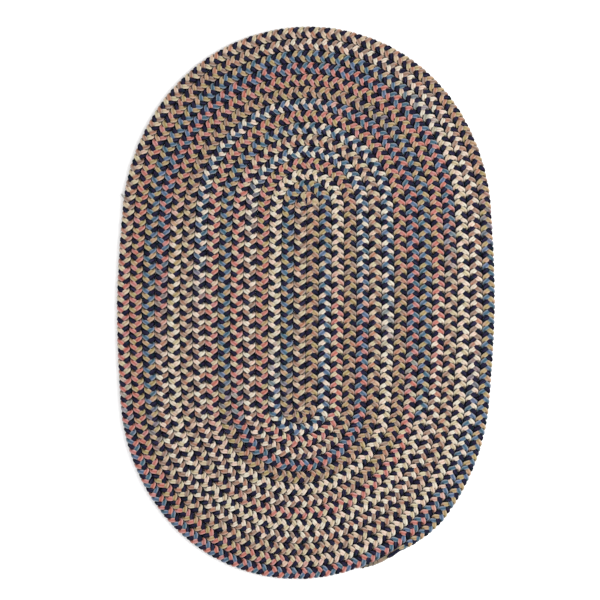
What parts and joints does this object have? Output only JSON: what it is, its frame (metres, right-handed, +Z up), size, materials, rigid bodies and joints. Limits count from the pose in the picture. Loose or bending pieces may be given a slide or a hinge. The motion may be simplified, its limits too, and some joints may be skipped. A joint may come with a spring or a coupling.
{
  "type": "oval braided rug",
  "caption": "Flat oval rug: a plaited yarn braid coiled outwards from a short straight centre and laced edge to edge, its end thinned and tucked against the rim.",
  "frame": {"origin": "middle of the rug's length and width, on the floor side of the underside", "axes": "+Y along the rug, towards the end opposite the tucked braid end; +X across it; +Z up through the face"},
  "size_m": [0.6134, 0.8964, 0.01],
  "materials": {
    "dyed_yarn": "matt heathered braid of space-dyed yarn in tan, cream, rose, coral and slate blue",
    "navy_yarn": "matt, very dark navy braid strand",
    "lacing_thread": "matt dark sewing thread between the turns, and pale loose ends"
  },
  "bodies": {
    "root": {"braided_rug": "dyed_yarn"}
  },
  "joints": []
}
